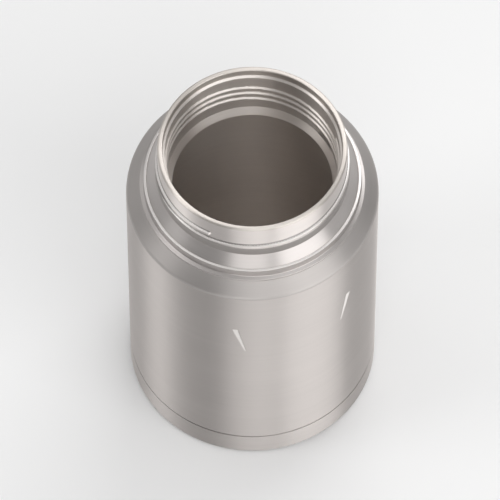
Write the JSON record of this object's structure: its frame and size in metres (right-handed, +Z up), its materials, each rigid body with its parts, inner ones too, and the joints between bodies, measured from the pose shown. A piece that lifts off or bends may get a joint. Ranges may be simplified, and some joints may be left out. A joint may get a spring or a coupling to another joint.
{
  "type": "insulated food jar",
  "caption": "Wide-mouth double-walled vacuum food jar body with stepped shoulder, threaded neck and base cup, shown open without its stopper or lid.",
  "frame": {"origin": "on the table at the jar's axis, at the middle of the foot's underside", "axes": "+Z up along the jar's axis; -Y towards the badge place between the two creases"},
  "size_m": [0.1, 0.1, 0.1594],
  "materials": {
    "shell_steel": "fine vertical-lit matte brushed, warm grey",
    "liner_steel": "satin, turned",
    "sheet_steel": "plain pressed sheet",
    "foil": "bright foil",
    "solder_glass": "dull fused glass",
    "getter": "sintered grey",
    "foam": "closed-cell foam",
    "foot_rubber": "matte rubber"
  },
  "bodies": {
    "root": {"outer_shell": "shell_steel", "base_cup": "shell_steel", "food_liner": "liner_steel", "liner_pan": "liner_steel", "vacuum_bottom": "sheet_steel", "getter_strap": "sheet_steel", "foil_sleeve": "foil", "foil_disc": "foil", "solder_plug": "solder_glass", "getter_pill": "getter", "base_cushion": "foam", "foot_pad": "foot_rubber"}
  },
  "joints": []
}
